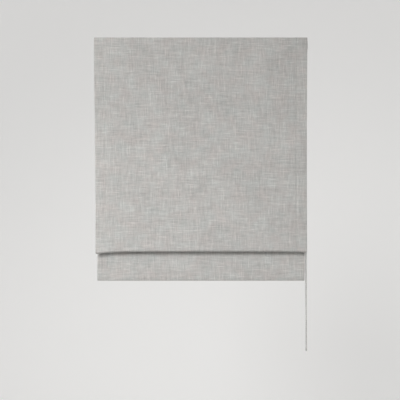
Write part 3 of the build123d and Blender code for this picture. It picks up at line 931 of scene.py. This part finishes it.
# %% Say how far things hang, lean and swell
LEFT_DROOP, LEFT_DROOP_REACH = 0.0068, 0.042
RIGHT_DROOP, RIGHT_DROOP_REACH = 0.0034, 0.025
FOLD_LOW = 0.0035
LEFT_LEAN = 0.0034
BAND_DRAW_IN = 0.003
BAND_LEAN_TOP, BAND_LEAN_FOOT = 0.0035, 0.0018
SWELL_DEPTH = 0.0009
BROAD_SWELLS, CLOSE_SWELLS = (7.0, 2.6, 3.0), (19.0, 5.0, 9.0)
CREASE_X, CREASE_WIDTH, CREASE_DEPTH = 0.189, 0.005, 0.0014
FOOT_TUCK, FOOT_TUCK_REACH = 0.0014, 0.010
TURNS_BEFORE_FOLD, TURNS_PAST_FOLD = 0.008, 0.003
HELD_ABOVE_RAIL_FLOOR, FREE_BELOW_RAIL = 0.01, 0.08
HELD_NEAR_FOLD, FREE_BELOW_CREASE = 0.02, 0.03
HELD_NEAR_FOOT = 0.05


def step_up(value, start, end):
    """0 before start, 1 after end, and a smooth rise between them."""
    share = min(max((value - start) / (end - start), 0), 1)
    return share * share * (3 - 2 * share)


def droop(x):
    """How far the fold's edge hangs below its highest place."""
    left = LEFT_DROOP * exp(-(x + half_width) / LEFT_DROOP_REACH)
    right = RIGHT_DROOP * exp(-(half_width - x) / RIGHT_DROOP_REACH)
    return FOLD_LOW + left + right


def swell(x, along):
    """Slow, uneven waves, broad ones and half as high closer ones."""
    height = 0
    for (across_scale, along_scale, slice_of_noise), share in (
        (BROAD_SWELLS, 1), (CLOSE_SWELLS, 0.5)
    ):
        place = Vector((x * across_scale, along * along_scale, slice_of_noise))
        height += share * noise.noise(place)
    return height


def freedom(along):
    """1 where the cloth can swell, and 0 where the rail, the fold or the hem holds it."""
    below_rail = step_up(along, run_rail - HELD_ABOVE_RAIL_FLOOR, run_rail + FREE_BELOW_RAIL)
    above_foot = 1 - step_up(along, run_band_foot - HELD_NEAR_FOOT, run_band_foot)
    before_fold = 1 - step_up(along, run_fold - HELD_NEAR_FOLD, run_fold)
    below_crease = step_up(along, run_crease, run_crease + FREE_BELOW_CREASE)
    return below_rail * above_foot * (before_fold + below_crease)


print("droop at the left end in mm:", round(1000 * droop(-half_width), 1))


# %% Drape both sheets
def drape(bm):
    layer = bm.verts.layers.float["run"]
    for vert in bm.verts:
        x, y, z = vert.co
        along = vert[layer]
        on_band = step_up(along, run_fold, run_crease)
        near_fold = step_up(along, run_rod_2, run_fold) * (1 - on_band)
        vert.co.z -= droop(x) * near_fold
        front_lean = LEFT_LEAN * step_up(along, run_rail, run_fold)
        down_band = step_up(along, run_crease, run_band_foot)
        band_lean = BAND_LEAN_TOP + (BAND_LEAN_FOOT - BAND_LEAN_TOP) * down_band
        turned_back = step_up(along, run_fold - TURNS_BEFORE_FOLD, run_fold + TURNS_PAST_FOLD)
        lean = front_lean + (band_lean - front_lean) * turned_back
        from_right = (half_width - x) / (2 * half_width)
        vert.co.x += lean * from_right - BAND_DRAW_IN * turned_back * x / half_width
        free = freedom(along)
        vert.co.y += SWELL_DEPTH * swell(x, along) * free
        crease = exp(-(((x - CREASE_X) / CREASE_WIDTH) ** 2))
        vert.co.y += CREASE_DEPTH * crease * on_band * free
        tucked = step_up(along, run_band_foot - FOOT_TUCK_REACH, run_band_foot)
        vert.co.y += FOOT_TUCK * tucked * (1 - step_up(along, run_band_foot, run_back_foot))


for bm in (face_bm, lining_bm):
    drape(bm)
    print("lowest point of a sheet:", round(min(vert.co.z for vert in bm.verts), 4))

# %% [markdown]
# ### Part the sheets at the rods
# Each stretch between two rods rides in its own way when the blind is raised, so the sheets are
# parted at the rods. Neighbours share their border points, and no seam shows while they hang. A
# Solidify modifier gives each stretch its thickness, behind the face that was modelled.


# %% Cut a stretch out of a sheet
def stretch_of(bm, start, end):
    part = bm.copy()
    layer = part.verts.layers.float["run"]
    spare = []
    for face in part.faces:
        middle = sum(vert[layer] for vert in face.verts) / len(face.verts)
        if not start <= middle < end:
            spare.append(face)
    bmesh.ops.delete(part, geom=spare, context="FACES")
    return part


def thicken(piece, thickness):
    """Gives a sheet its thickness, behind the face that was modelled."""
    wall = piece.modifiers.new("thickness", "SOLIDIFY")
    wall.thickness = thickness
    wall.offset = -1
    wall.use_even_offset = False


def hang_piece(name, bm, start, end, replaced, thickness, body=None):
    slot = "face_cloth" if replaced == "face_fabric" else "lining_cloth"
    piece = make_piece(name, stretch_of(bm, start, end), finishes[slot], body)
    thicken(piece, thickness)
    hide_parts(replaced)
    return piece


# %% [markdown]
# ### Stitches
# The lining is sewn to the side hems with a row of small stitches near its edge. A stitch is a
# tiny flat bead of thread, and there are hundreds, so each is a ball of 24 faces. A plane that
# cuts the lining gives the row's points, and the stitches are strung along them as the beads were.


# %% Sew a row of stitches
STITCH_PITCH = 0.0042
STITCH_LENGTH = 0.0027
STITCH_WIDTH = 0.0007
STITCH_INSET = 0.007


def seam_points(bm, x):
    """The points, from top to foot, where a plane across the blind cuts a sheet's back."""
    part = bm.copy()
    layer = part.verts.layers.float["run"]
    edge_line = bmesh.ops.bisect_plane(
        part,
        geom=[*part.verts, *part.edges, *part.faces],
        plane_co=(x, 0, 0),
        plane_no=(1, 0, 0),
    )["geom_cut"]
    verts = [item for item in edge_line if isinstance(item, bmesh.types.BMVert)]
    part.normal_update()
    verts.sort(key=lambda vert: vert[layer])
    points = [vert.co - vert.normal * LINING_THICKNESS for vert in verts]
    part.free()
    return points


def sew(bm, points):
    """A stitch at each even step along the points, turned to lie along them."""
    places = evenly_along(points, STITCH_PITCH)
    for here, there in zip(places, [*places[1:], 2 * places[-1] - places[-2]]):
        turn = (there - here).to_track_quat("Z", "Y").to_matrix().to_4x4()
        flat = Matrix.Diagonal((STITCH_WIDTH / 2, STITCH_WIDTH / 2, STITCH_LENGTH / 2, 1))
        bmesh.ops.create_uvsphere(
            bm,
            u_segments=6,
            v_segments=4,
            radius=1,
            matrix=Matrix.Translation(here) @ turn @ flat,
        )


def stitch_rows(name, bm, start, end, body=None):
    """Both side rows of one stretch of the lining."""
    stretch = stretch_of(bm, start, end)
    low_x = min(vert.co.x for vert in stretch.verts)
    high_x = max(vert.co.x for vert in stretch.verts)
    rows = bmesh.new()
    for x in (low_x + STITCH_INSET, high_x - STITCH_INSET):
        sew(rows, seam_points(stretch, x))
    stretch.free()
    return make_piece(name, rows, finishes["cord"], body)


# %% [markdown]
# ### Hang the stretches
# The upper two stretches go slack when their lower rod rises, but here each only gets a mesh of
# its own, and the middle one rides the upper rod. The lowest one is blended from the middle rod to
# the hem, and its points are weighed by how far back they lie: when the blind is let down, the
# fold's front stays, its underside is paid out and the band goes all the way. The lining is
# weighed a millimetre further back, or it would come through to the front.


# %% Say where the lowest stretch pays out and where its stitches end
PAYS_OUT_BEFORE = 0.0041
LINING_WEIGHED_BEHIND = 0.001
BAND_SEWN_ABOVE_FOOT = 0.045


# %% Hang the stretches of both sheets
def gather(piece, stretch):
    """Gives a piece of the upper or the middle stretch a mesh of its own; it isn't squashed."""
    if stretch == "upper":
        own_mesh(piece)
    else:
        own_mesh(piece)


def pay_out(piece, behind):
    """Blends a piece of the lowest stretch from the fold's front to the band."""
    start = (0, fold_back_y - PAYS_OUT_BEFORE + behind, rod_2.z)
    end = (0, band_y - 2 * CREASE_RADIUS + behind, rod_2.z)
    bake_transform(piece, "middle_rod", "hem", start, end)


def hang_sheet(kind, bm, replaced, thickness, behind):
    """All four stretches of the face cloth or the lining."""
    head = hang_piece(f"{kind}_head", bm, -1, run_rail, replaced, thickness, "root")
    upper = hang_piece(f"{kind}_upper", bm, run_rail, run_rod_1, replaced, thickness, "root")
    gather(upper, "upper")
    middle = hang_piece(
        f"{kind}_middle", bm, run_rod_1, run_rod_2, replaced, thickness, "upper_rod"
    )
    gather(middle, "middle")
    lower = hang_piece(
        f"{kind}_fold_and_band", bm, run_rod_2, cloth_length + 1, replaced, thickness
    )
    pay_out(lower, behind)


hang_sheet("face", face_bm, "face_fabric", CLOTH_THICKNESS, 0)
hang_sheet(
    "lining",
    lining_bm,
    "lining",
    LINING_THICKNESS,
    LINING_WEIGHED_BEHIND,
)
gather(stitch_rows("stitches_upper", lining_bm, run_rail, run_rod_1, "root"), "upper")
gather(stitch_rows("stitches_middle", lining_bm, run_rod_1, run_rod_2, "upper_rod"), "middle")
sewn_to = run_band_foot - BAND_SEWN_ABOVE_FOOT
lower_rows = stitch_rows("stitches_fold_and_band", lining_bm, run_rod_2, sewn_to)
pay_out(lower_rows, LINING_WEIGHED_BEHIND)
face_bm.free()
lining_bm.free()

# %% [markdown]
# ## Rod pockets
# Each rod lies in a narrow tunnel that is sewn on the back of the lining. It is a tube of the
# same sateen, drawn out to a lip where it meets the lining. Instead of folding a strip, we pull
# one point of a circle to the lip and drag the circle along the rod, which gives that section.


# %% The rod pockets
POCKET_RADIUS = 0.0030
POCKET_WALL = 0.0004
POCKET_STEP = 0.02


def rod_pocket(name, rod, toward, reach, body):
    """A tunnel round a rod, with its lip drawn towards the lining."""
    bm = bmesh.new()
    turn = Matrix.Translation((0, rod.y, rod.z)) @ Matrix.Rotation(pi / 2, 4, "Y")
    bmesh.ops.create_circle(bm, segments=20, radius=POCKET_RADIUS, matrix=turn)
    lip = max(bm.verts, key=lambda vert: (vert.co - rod).dot(toward))
    lip.co += toward * (reach - POCKET_RADIUS)
    pocket_end = half_width - LINING_MARGIN
    drag(bm, [*spread(-pocket_end, pocket_end, POCKET_STEP), pocket_end], ACROSS)
    bmesh.ops.recalc_face_normals(bm, faces=bm.faces)
    pocket = make_piece(name, bm, finishes["lining_cloth"], body)
    thicken(pocket, POCKET_WALL)
    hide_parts("lining")
    return pocket


lining_gap = FACE_TO_ROD - LINING_BEHIND - LINING_THICKNESS
to_room = Vector((0, -1, 0))
rod_pocket("rod_1_pocket", rod_1, to_room, lining_gap, "upper_rod")
rod_pocket("rod_2_pocket", rod_2, to_room, lining_gap, "middle_rod")
rod_pocket("rod_3_pocket", rod_3, -UP, lining_gap, "hem")

# %% [markdown]
# ## Lift cords
# A cord leaves each spool, runs down through the eyelets on the two upper rods and ends in a plug
# on the third. The run is plain and straight, so instead of a bevelled curve a circle dragged
# downwards is enough. Like the cloth, it is parted at the rods: its middle stretch rides the
# upper rod, and its lowest is blended from the middle rod to the hem.


# %% The cords' straight runs
CORD_RADIUS = 0.0007
CORD_STEP = 0.006


def close_ends(bm):
    bmesh.ops.holes_fill(bm, edges=[edge for edge in bm.edges if edge.is_boundary])
    bmesh.ops.recalc_face_normals(bm, faces=bm.faces)


def cord_run(name, side, top_z, end_z, body=None):
    cord_low, cord_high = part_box(f"{side}_lift_cord")
    middle = (cord_low + cord_high) / 2
    bm = bmesh.new()
    place = Matrix.Translation((middle.x, middle.y, 0))
    bmesh.ops.create_circle(bm, segments=10, radius=CORD_RADIUS, matrix=place)
    drag(bm, [*spread(top_z, end_z, CORD_STEP), end_z], UP)
    close_ends(bm)
    piece = make_piece(name, bm, finishes["cord"], body)
    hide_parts(f"{side}_lift_cord")
    return piece


def hang_cord(side):
    """A lift cord in three stretches."""
    cord_low, cord_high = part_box(f"{side}_lift_cord")
    upper = cord_run(f"{side}_cord_upper", side, cord_high.z, rod_1.z, "root")
    gather(upper, "upper")
    middle = cord_run(f"{side}_cord_middle", side, rod_1.z, rod_2.z, "upper_rod")
    gather(middle, "middle")
    lower = cord_run(f"{side}_cord_lower", side, rod_2.z, cord_low.z)
    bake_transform(lower, "middle_rod", "hem", (0, 0, rod_2.z), (0, 0, cord_low.z))


# %% [markdown]
# ### The turns on the spools
# The rest of each cord is wound on its spool in a tight row of turns. A Screw modifier could make
# this helix. The spin operator does it with less to set up: it turns one circle about the axle,
# and its dvec moves it sideways a little at each step.


# %% Wind the turns
CORD_TURNS = 6
STEPS_PER_TURN = 28


def wind_turns(side):
    """The turns of cord on a spool, as wide and as thick as the frame has them."""
    turns_low, turns_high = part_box(f"{side}_cord_turns")
    axle = (turns_low + turns_high) / 2
    wound_radius = (turns_high.z - turns_low.z) / 2 - CORD_RADIUS
    pitch = (turns_high.x - turns_low.x - 2 * CORD_RADIUS) / CORD_TURNS
    start = Vector((turns_low.x + CORD_RADIUS, axle.y - wound_radius, axle.z))
    bm = bmesh.new()
    bmesh.ops.create_circle(bm, segments=8, radius=CORD_RADIUS, matrix=Matrix.Translation(start))
    steps = CORD_TURNS * STEPS_PER_TURN
    bmesh.ops.spin(
        bm,
        geom=[*bm.verts, *bm.edges],
        cent=axle,
        axis=ACROSS,
        dvec=(pitch * CORD_TURNS / steps, 0, 0),
        angle=2 * pi * CORD_TURNS,
        steps=steps,
    )
    close_ends(bm)
    turns = make_piece(f"{side}_wound_cord", bm, finishes["cord"], "drive")
    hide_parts(f"{side}_cord_turns")
    print("turns are", round(1000 * pitch, 2), "mm apart")


for side in ("left", "right"):
    hang_cord(side)
    wind_turns(side)

# %% [markdown]
# ## Floor, backdrop and light
# A plain pale wall stands well behind the blind, and the floor lies as far below as it would
# under a window. More light would make them pale too, but it would bleach the cloth. So their
# paleness comes from a glow that only the camera, gloss and glass see, and that adds no light to
# the blind.


# %% The floor and the backdrop
FLOOR_Z = -2.1
WALL_Y = 2.4
STAGE_REACH = 7.0
FLOOR_COLOUR, FLOOR_GLOW = (0.78, 0.775, 0.765), 0.33
WALL_COLOUR, WALL_GLOW = (0.52, 0.517, 0.51), 0.46
LIGHT_COLOUR = (1.0, 0.995, 0.985, 1)
PATCH_SHADE = 0.985


def seen_directly(tree):
    """1 for rays from the camera and for reflections of them, and 0 for light on the blind."""
    rays = add_node(tree, "ShaderNodeLightPath")
    return rays, add_math(
        tree, "MAXIMUM", rays.outputs["Is Camera Ray"], rays.outputs["Is Glossy Ray"]
    )


def stage_plane(name, matrix, colour, glow):
    material, tree, shader = new_material(name + "_paint", Roughness=0.9)
    place = add_node(tree, "ShaderNodeTexCoord")
    patches = add_node(
        tree,
        "ShaderNodeTexNoise",
        {"Vector": place.outputs["Object"], "Scale": 1.5, "Detail": 3.0},
    )
    darker = [share * PATCH_SHADE for share in colour]
    tone = add_mix(tree, patches.outputs["Fac"], colour, darker)
    tree.links.new(tone, shader.inputs["Base Color"])
    shader.inputs["Emission Color"].default_value = LIGHT_COLOUR
    rays, seen = seen_directly(tree)
    seen = add_math(tree, "MAXIMUM", seen, rays.outputs["Is Transmission Ray"])
    glow_seen = add_math(tree, "MULTIPLY", seen, glow)
    tree.links.new(glow_seen, shader.inputs["Emission Strength"])
    bm = bmesh.new()
    bmesh.ops.create_grid(bm, x_segments=2, y_segments=2, size=STAGE_REACH, matrix=matrix)
    make_piece(name, bm, material)


stage_plane("floor", Matrix.Translation((0, 0, FLOOR_Z)), FLOOR_COLOUR, FLOOR_GLOW)
wall_foot = Matrix.Translation((0, WALL_Y, FLOOR_Z + STAGE_REACH))
stage_plane("backdrop", wall_foot @ Matrix.Rotation(pi / 2, 4, "X"), WALL_COLOUR, WALL_GLOW)

# %% [markdown]
# ### Light
# One large soft lamp, high on the left of the camera and aimed low, models the fold and casts its
# shadow on the band. Its beam is narrowed, so the cloth grows a little darker towards the
# headrail and the right, which a sun's even light wouldn't do. The world fills the shadows, and a
# weak lamp behind, which the camera doesn't see, keeps the lining from going grey.


# %% The world and the lamps
FILL_STRENGTH, SEEN_STRENGTH = 0.36, 0.76

world = bpy.data.worlds.new("studio")
world.use_nodes = True
sky = world.node_tree.nodes["Background"]
rays, seen = seen_directly(world.node_tree)
strength = add_node(
    world.node_tree,
    "ShaderNodeMapRange",
    {"Value": seen, "To Min": FILL_STRENGTH, "To Max": SEEN_STRENGTH},
)
world.node_tree.links.new(strength.outputs["Result"], sky.inputs["Strength"])
sky.inputs["Color"].default_value = LIGHT_COLOUR
bpy.context.scene.world = world


def add_lamp(name, place, target, size, watts, spread_angle):
    lamp_data = bpy.data.lights.new(name, "AREA")
    lamp_data.size = size
    lamp_data.energy = watts
    lamp_data.spread = spread_angle
    lamp = bpy.data.objects.new(name, lamp_data)
    lamp.location = place
    lamp.rotation_euler = (Vector(target) - Vector(place)).to_track_quat("-Z", "Y").to_euler()
    bpy.context.scene.collection.objects.link(lamp)
    return lamp


add_lamp("key_lamp", (-1.5, -2.65, 1.15), (0, 0, -1.9), size=1.5, watts=29, spread_angle=1.42)
back_lamp = add_lamp(
    "back_lamp", (1.0, 2.1, 0.5), (0, 0, -0.4), size=1.2, watts=7, spread_angle=1.5
)
back_lamp.visible_camera = False
bpy.context.scene.view_settings.view_transform = "Standard"
print("lamps and world are set")
